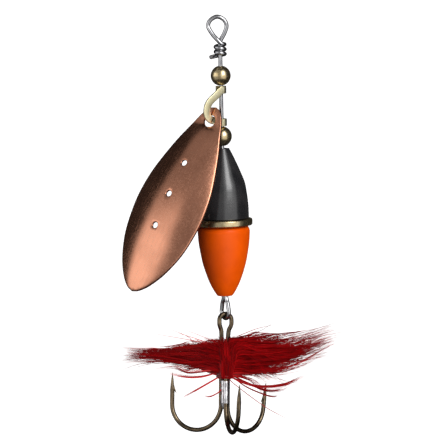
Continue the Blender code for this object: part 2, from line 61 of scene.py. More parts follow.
IDENTITY = Matrix.Identity(4)
JOINTS = {joint["name"]: joint for joint in frame["joints"]}


def node_middle(node):
    low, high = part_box(node)
    return (low + high) / 2


# Wire
WIRE_R = 0.425 * MM
BORE_R = 0.515 * MM
TIE_SHIFT = -0.47 * MM
TIE_HALF_WIDTH = 1.83 * MM
TIE_WIDEST_Z = -1.45 * MM
TIE_CROSS_Z = -4.3 * MM
WRAP_TOP_Z = -4.9 * MM
WRAP_PITCH = 0.95 * MM
WRAP_R = 2.0 * WIRE_R + 0.04 * MM
WRAP_START = math.radians(-75.0)
WRAP_END = math.radians(855.0)
TAG_LENGTH = 1.9 * MM
LOOP_AZIMUTH = math.radians(-60.0)
LEG_OFFSET = 0.45 * MM
JOG_Z = -47.2 * MM
TAIL_TOP_Z = -48.9 * MM
LOOP_HALF_WIDTH = 1.45 * MM
LOOP_EXIT_Z = -55.2 * MM
LOOP_BOTTOM_Z = JOINTS["treble_swing"]["pos_m"][2]
LEG_TOP_Z = JOG_Z - 1.3 * MM
LOOP_SHOULDER = Vector((0.75 * LOOP_HALF_WIDTH, 0.0, 1.5 * MM))     # each leg, above the round
SHAFT_TOP_Z = -12.0 * MM            # straight from here down to just above the jog
SHAFT_END_Z = JOG_Z + 0.4 * MM
CUT_END_R = 0.86 * WIRE_R           # where the cutter left the wire's two ends

# Beads, clevis and blade
BEAD_R = 2.0 * MM
CLEVIS_AZIMUTH = math.radians(-148.0)
STRIP_WIDTH = 1.5 * MM
STRIP_THICK = 0.45 * MM
STRIP_EDGE = 0.13 * MM
KNUCKLE_R = 0.845 * MM              # middle of the rolled strip; also the C's distance from the axis
KNUCKLE_TURN = math.radians(280.0)
UPPER_KNUCKLE_Z = -14.1 * MM
LOWER_KNUCKLE_Z = -20.6 * MM
BOW_OUT = 2.2 * MM
BOW_Z = JOINTS["blade_swing"]["pos_m"][2]
BOW_R = 1.75 * MM
BOW_TOP = math.radians(15.0)
BOW_END = math.radians(-90.0)
UPPER_ARM = ((0.45, -14.16), (1.55, -15.05), (3.0, -16.15), (3.7, -17.1))   # out, z in millimetres
LOWER_ARM = ((1.3, -20.35), (0.45, -20.57))
BLADE_LENGTH = 40.2 * MM
BLADE_HALF_WIDTH = 8.3 * MM
BLADE_THICK = 0.6 * MM
BLADE_BULGE = 2.4 * MM
BLADE_EDGE = 0.2 * MM
BLADE_GRID = 0.5 * MM
MOUNT_HOLE_R = 1.25 * MM
MOUNT_HOLE_FROM_TOP = 3.0 * MM
SMALL_HOLE_R = 0.6 * MM
SMALL_HOLE_FIRST = 12.9 * MM
SMALL_HOLE_PITCH = 6.8 * MM
BLADE_SEAT = math.radians(-62.0)
SEAT_OFFSET = 0.33 * MM
BLADE_AZIMUTH = math.radians(-132.0)
BLADE_FLARE = math.radians(25.8)
BLADE_LEAN = math.radians(-11.5)
BLADE_TWIST = math.radians(-5.5)
BLADE_OUTLINE = (                   # share of the length from the top, share of the half width
    (0.0, 0.0), (0.012, 0.15), (0.05, 0.29), (0.12, 0.44), (0.24, 0.68), (0.40, 0.91),
    (0.53, 0.99), (0.64, 0.965), (0.75, 0.87), (0.86, 0.66), (0.94, 0.41), (0.985, 0.18),
    (1.0, 0.0),
)

# Body: radius and depth below each shell's top, in millimetres
UPPER_OUTLINE = (
    (1.40, 0.0), (1.55, 0.25), (2.50, 2.2), (3.46, 4.4), (4.40, 6.8), (4.82, 9.2), (5.06, 11.6),
    (5.10, 13.7), (5.02, 13.95),
)
LOWER_OUTLINE = (
    (4.45, 0.0), (4.95, 0.25), (5.20, 0.9), (5.20, 1.8), (5.00, 3.9), (4.35, 7.45), (3.35, 10.6),
    (2.50, 12.5), (1.72, 13.8), (1.50, 14.05),
)
TAIL_BORE_R = 1.02 * MM
TAIL_BORE_TOP_Z = -46.5 * MM
COLLAR_R = 5.8 * MM
COLLAR_EDGE = 0.28 * MM

# Treble hook, in its own frame
TREBLE_AZIMUTH = math.radians(-75.7)
TREBLE_LEAN = math.radians(1.6)
TREBLE_TIP = math.radians(-7.0)
TREBLE = Matrix.Translation(JOINTS["treble_swing"]["pos_m"]) @ (
    Euler((TREBLE_TIP, TREBLE_LEAN, 0.0)).to_matrix().to_4x4()
)
HOOK_R = 0.45 * MM
SHANK_OFFSET = 0.80 * MM
EYE_TOP = WIRE_R + HOOK_R + 0.03 * MM
EYE_HALF_WIDTH = 1.25 * MM
EYE_FOOT = -3.5 * MM
BEND_R = 5.1 * MM
Hook = namedtuple("Hook", "azimuth tilt point bend_z")     # point: its length from the bend
FRONT_HOOK = Hook(TREBLE_AZIMUTH, math.radians(6.0), 5.2 * MM, -17.5 * MM)
RIGHT_HOOK = Hook(TREBLE_AZIMUTH + TURN / 3, math.radians(8.0), 5.4 * MM, -17.75 * MM)
LEFT_HOOK = Hook(TREBLE_AZIMUTH - TURN / 3, 0.0, 6.3 * MM, -17.4 * MM)
TAPER_LENGTH = 3.6 * MM
TIP_R = 0.05 * MM
BARB_ROOT = 2.0 * MM
BARB_FOOT = 4.1 * MM
BARB_HEIGHT = 0.42 * MM
BARB_ROOT_R = 0.24 * MM
BARB_TIP_R = 0.05 * MM
SINGLE_TOP = -4.2 * MM
BRAZE_TOP = -11.9 * MM
BRAZE_END = -18.2 * MM
BRAZE_WEB = 0.16 * MM               # solder between the shanks, past their centres
BRAZE_COATS = (0.07, -0.05, -0.05)  # over the front shank and the other two, in millimetres
BRAZE_LUMP = 0.09 * MM
BRAZE_LUMP_SPAN = 0.9 * MM
THREAD_TOP = -10.55 * MM
THREAD_R = 0.17 * MM
THREAD_COIL_R = 1.44 * MM
THREAD_PITCH = 0.33 * MM
THREAD_TURNS = 4
THREAD_SLACK = 0.04 * MM
THREAD_LAYERS = ((THREAD_COIL_R, -1.0, 0.3), (THREAD_COIL_R + 0.2 * MM, 1.0, 1.7))


# ---------------------------------------------------------------- shape helpers

def around(radius, azimuth, z=0.0):
    return Vector((radius * math.cos(azimuth), radius * math.sin(azimuth), z))


def smooth_curve(points, steps):
    """Points on a Catmull-Rom curve through the given points."""
    knots = [Vector(point) for point in points]
    knots = [2 * knots[0] - knots[1], *knots, 2 * knots[-1] - knots[-2]]
    curve = []
    for index in range(1, len(knots) - 2):
        before, start, end, after = knots[index - 1:index + 3]
        for step in range(steps):
            t = step / steps
            curve.append(0.5 * (
                2 * start + (end - before) * t
                + (2 * before - 5 * start + 4 * end - after) * t ** 2
                + (3 * start - before - 3 * end + after) * t ** 3
            ))
    curve.append(knots[-2])
    return curve


def new_shape():
    """An empty bmesh with a layer for where each point lies on its piece."""
    shape = bmesh.new()
    return shape, shape.verts.layers.float_vector.new("lay")


def sweep(shape, layer, path, radii, sides, tone=0.0):
    """A round bar along a path. Its layer holds the place round the bar and along it."""
    if not isinstance(radii, (list, tuple)):
        radii = [radii] * len(path)
    tangents = [
        (path[min(index + 1, len(path) - 1)] - path[max(index - 1, 0)]).normalized()
        for index in range(len(path))
    ]
    across = tangents[0].orthogonal().normalized()
    rings = []
    along = 0.0
    for index, centre in enumerate(path):
        if index:
            across = tangents[index - 1].rotation_difference(tangents[index]) @ across
            along += (centre - path[index - 1]).length
        other = tangents[index].cross(across)
        ring = []
        for side in range(sides):
            angle = TURN * side / sides
            spoke = math.cos(angle) * across + math.sin(angle) * other
            corner = shape.verts.new(centre + radii[index] * spoke)
            corner[layer] = (
                math.cos(angle) + 5.0 * tone, math.sin(angle), along / (2.0 * MM),
            )
            ring.append(corner)
        rings.append(ring)
    skin(shape, rings)


def skin(shape, rings, close=False):
    """Faces between neighbouring rings, with end caps unless it closes on itself."""
    count = len(rings[0])
    pairs = list(zip(rings, rings[1:]))
    if close:
        pairs.append((rings[-1], rings[0]))
    else:
        shape.faces.new(rings[0])
        shape.faces.new(rings[-1])
    for lower, upper in pairs:
        for side in range(count):
            after = (side + 1) % count
            shape.faces.new((lower[side], lower[after], upper[after], upper[side]))


def turned(outline, segments):
    """A ring turned about Z from a closed outline of (radius, z)."""
    shape, _ = new_shape()
    rings = [
        [shape.verts.new(around(radius, TURN * step / segments, z)) for radius, z in outline]
        for step in range(segments)
    ]
    skin(shape, rings, close=True)
    return shape


def linked(name, shape, sharp):
    """An object from a finished bmesh, smooth but for its sharp edges."""
    bmesh.ops.recalc_face_normals(shape, faces=shape.faces)
    mesh = bpy.data.meshes.new(name)
    shape.to_mesh(mesh)
    shape.free()
    mesh.shade_smooth()
    mesh.set_sharp_from_angle(angle=math.radians(sharp))
    made = bpy.data.objects.new(name, mesh)
    bpy.context.scene.collection.objects.link(made)
    return made


def add_piece(name, shape, look, body, nodes, place=IDENTITY, sharp=40.0):
    """A piece with its material, riding its body and standing for its CAD nodes."""
    piece = linked(name, shape, sharp)
    piece.data.materials.append(look)
    piece.matrix_world = place
    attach(piece, body)
    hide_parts(*nodes)
    return piece


def add_treble_piece(name, shape, look, nodes, sharp=40.0):
    return add_piece(name, shape, look, "treble", nodes, TREBLE, sharp)


def fuse(piece, tools):
    """Join the tools onto the piece by Boolean, keep the result and drop the tools."""
    for tool in tools:
        made = piece.modifiers.new("Union", "BOOLEAN")
        made.operation = "UNION"
        made.object = tool
        made.solver = "EXACT"
    bpy.context.view_layer.update()
    ready = piece.evaluated_get(bpy.context.evaluated_depsgraph_get())
    mesh = bpy.data.meshes.new_from_object(ready)
    old = piece.data
    piece.modifiers.clear()
    piece.data = mesh
    mesh.name = piece.name
    bpy.data.meshes.remove(old)
    for tool in tools:
        bpy.data.objects.remove(tool, do_unlink=True)


# ---------------------------------------------------------------- material helpers

class Look:
    """A Principled material with small helpers for the nodes that feed it."""

    def __init__(self, name, roughness, metallic=0.0, **sockets):
        self.material = bpy.data.materials.new(name)
        self.material.use_nodes = True
        self.tree = self.material.node_tree
        self.shader = self.tree.nodes["Principled BSDF"]
        self.shader.inputs["Roughness"].default_value = roughness
        self.shader.inputs["Metallic"].default_value = metallic
        for socket, value in sockets.items():
            self.shader.inputs[socket.replace("_", " ")].default_value = value

    def node(self, kind, **settings):
        made = self.tree.nodes.new(kind)
        for setting, value in settings.items():
            setattr(made, setting, value)
        return made

    def link(self, source, target):
        self.tree.links.new(source, target)

    def place(self):
        return self.node("ShaderNodeTexCoord").outputs["Object"]

    def lay(self):
        return self.node("ShaderNodeAttribute", attribute_name="lay").outputs["Vector"]

    def axis(self, vector, name):
        parts = self.node("ShaderNodeSeparateXYZ")
        self.link(vector, parts.inputs[0])
        return parts.outputs[name]

    def grain(self, vector, scale, detail=2.0, stretch=(1.0, 1.0, 1.0)):
        """Noise over a stretched vector, from 0 to 1."""
        mapping = self.node("ShaderNodeMapping")
        mapping.inputs["Scale"].default_value = stretch
        self.link(vector, mapping.inputs["Vector"])
        texture = self.node("ShaderNodeTexNoise")
        texture.inputs["Scale"].default_value = scale
        texture.inputs["Detail"].default_value = detail
        self.link(mapping.outputs["Vector"], texture.inputs["Vector"])
        return texture.outputs["Fac"]

    def span(self, value, low, high, out_low, out_high):
        """A value mapped smoothly from one range to another."""
        made = self.node("ShaderNodeMapRange", interpolation_type="SMOOTHSTEP")
        for socket, number in zip(("From Min", "From Max", "To Min", "To Max"),
                                  (low, high, out_low, out_high)):
            made.inputs[socket].default_value = number
        self.link(value, made.inputs["Value"])
        return made.outputs["Result"]

    def sum(self, one, other, operation="ADD"):
        made = self.node("ShaderNodeMath", operation=operation)
        self.link(one, made.inputs[0])
        self.link(other, made.inputs[1])
        return made.outputs[0]

    def blend(self, factor, first, second):
        """A colour between two, each a plain colour or another output."""
        made = self.node("ShaderNodeMix", data_type="RGBA")
        self.link(factor, made.inputs["Factor"])
        for index, colour in ((6, first), (7, second)):
            if isinstance(colour, tuple):
                made.inputs[index].default_value = (*colour, 1.0)
            else:
                self.link(colour, made.inputs[index])
        return made.outputs[2]

    def colour(self, output):
        self.link(output, self.shader.inputs["Base Color"])

    def mottle(self, value, low, high, dark, light):
        """The base colour, dark where a value is low and light where it is high."""
        self.colour(self.blend(self.span(value, low, high, 0.0, 1.0), dark, light))

    def roughness(self, output):
        self.link(output, self.shader.inputs["Roughness"])

    def bump(self, height, depth, strength=1.0):
        made = self.node("ShaderNodeBump")
        made.inputs["Distance"].default_value = depth
        made.inputs["Strength"].default_value = strength
        self.link(height, made.inputs["Height"])
        self.link(made.outputs["Normal"], self.shader.inputs["Normal"])


def steel_look():
    """Drawn spring wire: fine streaks along it, a few dull patches."""
    look = Look("drawn_steel", 0.2, 1.0)
    streaks = look.grain(look.lay(), 6.0, 3.0, (1.0, 1.0, 0.12))
    patches = look.grain(look.place(), 700.0, 2.0)
    look.mottle(patches, 0.35, 0.7, (0.46, 0.46, 0.48), (0.66, 0.66, 0.67))
    look.roughness(look.span(streaks, 0.3, 0.75, 0.14, 0.30))
    look.bump(streaks, 0.012 * MM)
    return look.material


def brass_look(name, dark, light, low, high):
    """Turned or stamped brass: faint tarnish, hairline scratches."""
    look = Look(name, 0.15, 1.0)
    tarnish = look.grain(look.place(), 900.0, 4.0)
    scratches = look.grain(look.place(), 5200.0, 3.0, (1.0, 1.0, 0.25))
    look.mottle(tarnish, 0.3, 0.7, dark, light)
    look.roughness(look.span(scratches, 0.3, 0.7, low, high))
    look.bump(scratches, 0.006 * MM)
    return look.material


def copper_look():
    """Satin copper sheet: rolling grain along the blade, a fine speckle and cloudy wear."""
    look = Look("satin_copper", 0.3, 1.0)
    place = look.place()
    grain = look.grain(place, 900.0, 3.0, (3.2, 0.35, 1.0))
    speckle = look.grain(place, 2600.0, 2.0)
    clouds = look.grain(place, 170.0, 3.0)
    worn = look.blend(look.span(clouds, 0.35, 0.65, 0.0, 1.0),
                      (0.56, 0.245, 0.15), (0.68, 0.30, 0.185))
    look.colour(look.blend(look.span(speckle, 0.35, 0.75, 0.0, 0.35), worn, (0.74, 0.37, 0.25)))
    look.roughness(look.span(look.sum(grain, speckle, "MULTIPLY"), 0.1, 0.45, 0.20, 0.30))
    look.bump(look.sum(grain, speckle), 0.0022 * MM)
    return look.material


def lacquer_look(name, dark, light, low, high, rings, **sockets):
    """Lacquer over turned brass: the tool's rings show through, and dust specks."""
    look = Look(name, 0.15, 0.0, **sockets)
    place = look.place()
    turning = look.grain(place, 1.0, 3.0, (60.0, 60.0, 5200.0))
    specks = look.grain(place, 3100.0, 3.0)
    look.mottle(look.grain(place, 240.0, 2.0), 0.35, 0.65, dark, light)
    look.roughness(look.span(look.sum(turning, specks, "MULTIPLY"), 0.1, 0.45, low, high))
    look.bump(turning, rings)
    return look.material


def bronze_look():
    """Hook wire: brown-black bronze finish with brighter rubbed streaks."""
    look = Look("hook_bronze", 0.22, 1.0)
    streaks = look.grain(look.lay(), 5.0, 3.0, (1.0, 1.0, 0.2))
    patches = look.grain(look.place(), 620.0, 3.0)
    rubbed = look.sum(streaks, patches, "MULTIPLY")
    look.mottle(rubbed, 0.16, 0.42, (0.10, 0.075, 0.052), (0.30, 0.225, 0.135))
    look.roughness(look.span(streaks, 0.3, 0.7, 0.16, 0.30))
    look.bump(streaks, 0.01 * MM)
    return look.material


def braze_look():
    """Silver solder: bright and rippled, with duller patches."""
    look = Look("silver_braze", 0.3, 1.0)
    ripple = look.grain(look.place(), 1500.0, 4.0)
    stain = look.grain(look.place(), 700.0, 3.0)
    look.mottle(stain, 0.38, 0.62, (0.62, 0.60, 0.62), (0.90, 0.89, 0.91))
    look.roughness(look.span(ripple, 0.3, 0.7, 0.2, 0.42))
    look.bump(ripple, 0.05 * MM)
    return look.material


def thread_look():
    """Waxed tying thread: twisted, deep red."""
    look = Look("red_thread", 0.5, 0.0, Sheen_Weight=0.3)
    twist = look.grain(look.lay(), 9.0, 2.0, (1.0, 1.0, 0.5))
    look.mottle(twist, 0.3, 0.7, (0.07, 0.002, 0.003), (0.24, 0.006, 0.009))
    look.bump(twist, 0.05 * MM)
    return look.material


def hair_look():
    """Dyed hair: each strand its own red, its tone and gloss changing along it."""
    look = Look("dyed_hair", 0.34, 0.0)
    look.shader.inputs["Specular IOR Level"].default_value = 0.25
    lay = look.lay()
    tone = look.span(look.axis(lay, "X"), -1.0, 6.0, 0.0, 1.0)
    scales = look.grain(lay, 3.0, 2.0, (1.0, 1.0, 2.0))
    plain = look.blend(tone, (0.06, 0.0002, 0.0006), (0.46, 0.0028, 0.0044))
    look.colour(look.blend(look.span(scales, 0.45, 0.8, 0.0, 0.3), plain, (0.42, 0.006, 0.009)))
    look.roughness(look.span(scales, 0.3, 0.7, 0.42, 0.60))
    return look.material


# ---------------------------------------------------------------- wire form

def tie_loop():
    """The line-tie loop, from the shaft's side over the top and across the front."""
    middle = TIE_SHIFT
    half = TIE_HALF_WIDTH
    front = -2.0 * WIRE_R - 0.04 * MM
    knots = (
        (0.0, 0.0, WRAP_TOP_Z - 0.4 * MM),
        (0.12 * MM, 0.0, TIE_CROSS_Z),
        (0.85 * MM, 0.0, -3.0 * MM),
        (middle + half, 0.0, TIE_WIDEST_Z),
        (middle + 0.72 * half, 0.0, -0.2 * MM),
        (middle, 0.0, WIRE_R),
        (middle - 0.72 * half, 0.0, -0.2 * MM),
        (middle - half, 0.0, TIE_WIDEST_Z),
        (middle - 0.55 * half, 0.45 * front, -3.0 * MM),
        (-0.55 * MM, 0.92 * front, TIE_CROSS_Z + 0.2 * MM),
    )
    return smooth_curve(knots, 12)


def wraps():
    """The closing turns, going down round the shaft, and the tag end that leaves them."""
    turns = []
    steps = 140
    for step in range(steps + 1):
        angle = WRAP_START + (WRAP_END - WRAP_START) * step / steps
        drop = WRAP_PITCH * (angle - WRAP_START) / TURN
        turns.append(around(WRAP_R, angle, WRAP_TOP_Z - drop))
    leave = Vector((-math.sin(WRAP_END), math.cos(WRAP_END), -0.12)).normalized()
    last = turns[-1]
    for share in (0.15, 0.4, 0.7, 0.97, 1.0):
        turns.append(last + share * TAG_LENGTH * leave)
    return turns


def lower_loop():
    """Down the body, round the loop that carries the hook, and back up inside."""
    across = around(1.0, LOOP_AZIMUTH)
    up = Vector((0.0, 0.0, 1.0))
    bend_z = LOOP_BOTTOM_Z + LOOP_HALF_WIDTH
    knots = [
        -LEG_OFFSET * across + LEG_TOP_Z * up,
        -LEG_OFFSET * across + LOOP_EXIT_Z * up,
        -LOOP_SHOULDER.x * across + (bend_z + LOOP_SHOULDER.z) * up,
    ]
    outward = smooth_curve(knots, 12)
    bend = [
        LOOP_HALF_WIDTH * (-math.cos(angle) * across - math.sin(angle) * up) + bend_z * up
        for angle in (math.pi * step / 40 for step in range(41))
    ]
    back = [Vector((-point.x, -point.y, point.z)) for point in reversed(outward)]
    back[-1].z = TAIL_TOP_Z
    return outward + bend + back


def wire_form(look):
    loop = list(reversed(tie_loop()))
    straight = [Vector((0.0, 0.0, SHAFT_TOP_Z)), Vector((0.0, 0.0, SHAFT_END_Z))]
    path = list(reversed(wraps())) + loop + straight + lower_loop()
    radii = [WIRE_R] * len(path)
    radii[0] = radii[-1] = CUT_END_R
    shape, layer = new_shape()
    sweep(shape, layer, path, radii, 28)
    add_piece("wire_form", shape, look, "shaft", ["wire_shaft"])


# ---------------------------------------------------------------- beads and collar

def brass_bead(name, node, look):
    """A drilled ball with a small countersink at each end of its bore."""
    rim = math.acos((BORE_R + 0.12 * MM) / BEAD_R)
    steps = 48
    outline = [
        (BEAD_R * math.cos(angle), BEAD_R * math.sin(angle))
        for angle in (rim - 2.0 * rim * step / steps for step in range(steps + 1))
    ]
    mouth = outline[-1][1] + 0.12 * MM
    outline += [(BORE_R, mouth), (BORE_R, -mouth)]
    place = Matrix.Translation(node_middle(node))
    add_piece(name, turned(outline, 96), look, node, [node], place, sharp=35.0)


def brass_collar(look):
    """The disc between the shells, its rim rolled over at both edges."""
    low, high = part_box("body_collar")
    steps = 8
    rim = []
    for middle_z, start in ((high.z - COLLAR_EDGE, 0.25 * TURN), (low.z + COLLAR_EDGE, 0.0)):
        for step in range(steps + 1):
            angle = start - 0.25 * TURN * step / steps
            rim.append((
                COLLAR_R - COLLAR_EDGE + COLLAR_EDGE * math.cos(angle),
                middle_z + COLLAR_EDGE * math.sin(angle),
            ))
    outline = [(BORE_R, high.z), *rim, (BORE_R, low.z)]
    shape = turned(outline, 160)
    add_piece("brass_collar", shape, look, "body", ["body_collar"])


# ---------------------------------------------------------------- clevis

def strip_path():
    """Middle line of the clevis strip in its own frame, with the way out of its face at each point."""
    roll_steps = 44
    bow_steps = 30
    out_of_face = Vector((0.0, 1.0, 0.0))

    def knuckle(z):
        """From the free end of the roll round to where it runs out into the C."""
        stops = []
        for step in range(roll_steps):
            angle = 0.25 * TURN + KNUCKLE_TURN * (1.0 - step / roll_steps)
            spoke = around(1.0, angle)
            stops.append((KNUCKLE_R * spoke + Vector((0.0, 0.0, z)), spoke))
        return stops

    bow = [
        (BOW_OUT / MM + BOW_R / MM * math.cos(angle), BOW_Z / MM + BOW_R / MM * math.sin(angle))
        for angle in (BOW_TOP + (BOW_END - BOW_TOP) * step / bow_steps
                      for step in range(bow_steps + 1))
    ]
    knots = [
        (0.0, UPPER_KNUCKLE_Z / MM), *UPPER_ARM, *bow, *LOWER_ARM, (0.0, LOWER_KNUCKLE_Z / MM),
    ]
    line = smooth_curve([(out * MM, KNUCKLE_R, z * MM) for out, z in knots], 5)
    flat = [(point, out_of_face) for point in line]
    return knuckle(UPPER_KNUCKLE_Z) + flat + list(reversed(knuckle(LOWER_KNUCKLE_Z)))


def rounded_section(half_width, half_height, edge, steps=4):
    """Corners of a rounded rectangle, as (across, up)."""
    points = []
    for corner in range(4):
        middle_angle = math.pi / 4 + corner * math.pi / 2
        sign_x = 1 if math.cos(middle_angle) > 0 else -1
        sign_y = 1 if math.sin(middle_angle) > 0 else -1
        for step in range(steps + 1):
            angle = corner * math.pi / 2 + 0.25 * TURN * step / steps
            points.append((
                sign_x * (half_width - edge) + edge * math.cos(angle),
                sign_y * (half_height - edge) + edge * math.sin(angle),
            ))
    return points


def clevis_strip(look):
    """A stamped C of brass strip, its edges rounded over and its ends rolled round the wire."""
    shape, _ = new_shape()
    path = strip_path()
    section = rounded_section(STRIP_WIDTH / 2, STRIP_THICK / 2, STRIP_EDGE)
    rings = []
    for index, (point, face) in enumerate(path):
        before = path[max(index - 1, 0)][0]
        after = path[min(index + 1, len(path) - 1)][0]
        across = (after - before).normalized().cross(face)
        rings.append([shape.verts.new(point + up * face + side * across) for side, up in section])
    skin(shape, rings)
    place = Matrix.Rotation(CLEVIS_AZIMUTH, 4, "Z")
    add_piece("clevis_strip", shape, look, "clevis", ["clevis"], place, 35.0)


# ---------------------------------------------------------------- blade

WIDTH_CURVE = smooth_curve([(x, y, 0.0) for x, y in BLADE_OUTLINE], 16)


def blade_width(share):
    """Half width at a share of the length, read from the outline's smooth curve."""
    for before, after in zip(WIDTH_CURVE, WIDTH_CURVE[1:]):
        if before.x <= share <= after.x:
            part = (share - before.x) / max(after.x - before.x, 1e-9)
            return BLADE_HALF_WIDTH * (before.y + (after.y - before.y) * part)
    return 0.0


def blade_rise(x, y):
    """Height of the dish: flat at the neck and at the rim, full in the middle."""
    share = min(max(y / BLADE_LENGTH, 0.0), 1.0)
    across = min(abs(x) / max(blade_width(share), 1e-6), 1.0)
    neck = 0.10
    swell = math.sin(math.pi * min(max((share - neck) / (1.0 - neck), 0.0), 1.0) ** 0.85)
    return BLADE_BULGE * max(swell, 0.0) ** 0.8 * (1.0 - across ** 2)


def blade_frame():
    """The blade's rest pose in the clevis frame: x across, y down its length, z out of its face."""
    down = Vector((
        math.sin(BLADE_FLARE) * math.cos(BLADE_LEAN),
        math.sin(BLADE_LEAN),
        -math.cos(BLADE_FLARE) * math.cos(BLADE_LEAN),
    ))
    face = Vector((1.0, 0.0, 0.0)) - down.x * down
    face.normalize()
    face = Matrix.Rotation(BLADE_TWIST, 3, down) @ face
    across = down.cross(face)
    turn = Matrix.Rotation(BLADE_AZIMUTH - CLEVIS_AZIMUTH, 3, "Z")
    made = (turn @ Matrix((across, down, face)).transposed()).to_4x4()
    seat = Vector((
        BOW_OUT + BOW_R * math.cos(BLADE_SEAT), KNUCKLE_R, BOW_Z + BOW_R * math.sin(BLADE_SEAT),
    ))
    made.translation = seat + (SEAT_OFFSET - MOUNT_HOLE_FROM_TOP) * (turn @ down)
    return made


def blade_holes():
    """Each hole's place down the blade and its radius."""
    small = [(SMALL_HOLE_FIRST + SMALL_HOLE_PITCH * step, SMALL_HOLE_R) for step in range(3)]
    return [(MOUNT_HOLE_FROM_TOP, MOUNT_HOLE_R), *small]


def evenly(loop, spacing):
    """Points an even distance apart round a closed loop."""
    closed = [*loop, loop[0]]
    lengths = [(after - before).length for before, after in zip(closed, closed[1:])]
    count = max(12, round(sum(lengths) / spacing))
    step = sum(lengths) / count
    points = []
    index, passed = 0, 0.0
    for number in range(count):
        while passed + lengths[index] < number * step:
            passed += lengths[index]
            index += 1
        part = (number * step - passed) / lengths[index]
        points.append(closed[index].lerp(closed[index + 1], part))
    return points


def blade_loops():
    """Closed loops of the blade's edges, each point with the direction out of the metal."""
    side = [Vector((BLADE_HALF_WIDTH * p.y, BLADE_LENGTH * p.x)) for p in WIDTH_CURVE]
    other = [Vector((-p.x, p.y)) for p in reversed(side[1:-1])]
    rim = evenly(side + other, 0.3 * MM)
    loops = []
    outward = []
    for index, point in enumerate(rim):
        along = rim[(index + 1) % len(rim)] - rim[index - 1]
        outward.append(Vector((along.y, -along.x)).normalized())
    loops.append(list(zip(rim, outward)))
    for down, radius in blade_holes():
        count = 56 if radius > MM else 36
        circle = []
        for step in range(count):
            spoke = Vector((math.cos(TURN * step / count), math.sin(TURN * step / count)))
            circle.append((Vector((0.0, down)) + radius * spoke, -spoke))
        loops.append(circle)
    return loops


def in_the_metal(x, y, margin):
    """True where a flat point lies on the sheet, a margin in from its edges."""
    share = y / BLADE_LENGTH
    if not 0.0 < share < 1.0 or abs(x) > blade_width(share) - margin:
        return False
    if min(y, BLADE_LENGTH - y) < margin:
        return False
    return all(math.hypot(x, y - down) > radius + margin for down, radius in blade_holes())


def blade_points(loops):
    """Flat points of the sheet with its borders first: each loop, then a staggered grid inside."""
    flat = []
    borders = []
    for loop in loops:
        start = len(flat)
        flat += [point - BLADE_EDGE * outward for point, outward in loop]
        borders += [(start + i, start + (i + 1) % len(loop)) for i in range(len(loop))]
    row_step = 0.87 * BLADE_GRID
    columns = int(BLADE_HALF_WIDTH / BLADE_GRID) + 1
    for row in range(int(BLADE_LENGTH / row_step)):
        for column in range(-columns, columns + 1):
            x, y = (column + 0.5 * (row % 2)) * BLADE_GRID, (row + 0.5) * row_step
            if in_the_metal(x, y, BLADE_EDGE + 0.22 * MM):
                flat.append(Vector((x, y)))
    return flat, borders


def blade_sheet(loops):
    """Triangles over the sheet's metal, and where each border point ended up among the points."""
    flat, borders = blade_points(loops)
    triangles = delaunay_2d_cdt([point / BLADE_LENGTH for point in flat], borders, [], 0, 1e-7)
    points = [point * BLADE_LENGTH for point in triangles[0]]
    kept = []
    for face in triangles[2]:
        centre = sum((points[corner] for corner in face), Vector((0.0, 0.0))) / len(face)
        if in_the_metal(centre.x, centre.y, 0.9 * BLADE_EDGE):
            kept.append(face)
    new_index = {old: new for new, olds in enumerate(triangles[3]) for old in olds}
    return points, kept, new_index


def rolled_edge(shape, loop, front, back):
    """Rings from the front skin's border over the edge to the back skin's, and their faces."""
    steps = 5
    rings = [front]
    for side, order in ((1, range(1, steps + 1)), (-1, range(steps, 0, -1))):
        for step in order:
            angle = 0.25 * TURN * step / steps
            ring = []
            for point, outward in loop:
                spot = point - BLADE_EDGE * (1.0 - math.sin(angle)) * outward
                lift = BLADE_THICK / 2 - BLADE_EDGE * (1.0 - math.cos(angle))
                ring.append(shape.verts.new((*spot, blade_rise(*spot) + side * lift)))
            rings.append(ring)
    rings.append(back)
    for upper, lower in zip(rings, rings[1:]):
        for i in range(len(loop)):
            after = (i + 1) % len(loop)
            shape.faces.new((upper[i], upper[after], lower[after], lower[i]))


def copper_blade(look):
    """The dished sheet: two skins from one flat mesh, joined by rolled edges."""
    loops = blade_loops()
    points, kept, new_index = blade_sheet(loops)
    shape, _ = new_shape()
    skins = []
    for half in (BLADE_THICK / 2, -BLADE_THICK / 2):
        corners = [shape.verts.new((*point, blade_rise(*point) + half)) for point in points]
        for face in kept:
            shape.faces.new([corners[corner] for corner in face])
        skins.append(corners)
    start = 0
    for loop in loops:
        border = [new_index[start + i] for i in range(len(loop))]
        rolled_edge(shape, loop, *([corners[i] for i in border] for corners in skins))
        start += len(loop)
    loose = [corner for corner in shape.verts if not corner.link_faces]
    bmesh.ops.delete(shape, geom=loose, context="VERTS")
    place = Matrix.Rotation(CLEVIS_AZIMUTH, 4, "Z") @ blade_frame()
    add_piece("copper_blade", shape, look, "blade", ["blade"], place, sharp=50.0)


# ---------------------------------------------------------------- body shells

def shell(name, node, rows, bores, look):
    _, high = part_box(node)
    outer = smooth_curve([(radius * MM, high.z - depth * MM, 0.0) for radius, depth in rows], 10)
    outline = [(point.x, point.y) for point in outer] + bores
    add_piece(name, turned(outline, 160), look, "body", [node], sharp=50.0)


def body_shells(black, orange):
    low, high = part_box("body_upper")
    shell("black_shell", "body_upper", UPPER_OUTLINE,
          [(BORE_R, low.z + 0.05 * MM), (BORE_R, high.z)], black)
    low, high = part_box("body_lower")
    shell("orange_shell", "body_lower", LOWER_OUTLINE, [
        (TAIL_BORE_R, low.z),
        (TAIL_BORE_R, TAIL_BORE_TOP_Z),
        (BORE_R, TAIL_BORE_TOP_Z),
        (BORE_R, high.z),
    ], orange)


# ---------------------------------------------------------------- treble hook

def point_rise(hook):
    """The way a hook's point runs, up and a little outward."""
    return around(math.sin(hook.tilt), hook.azimuth, math.cos(hook.tilt))


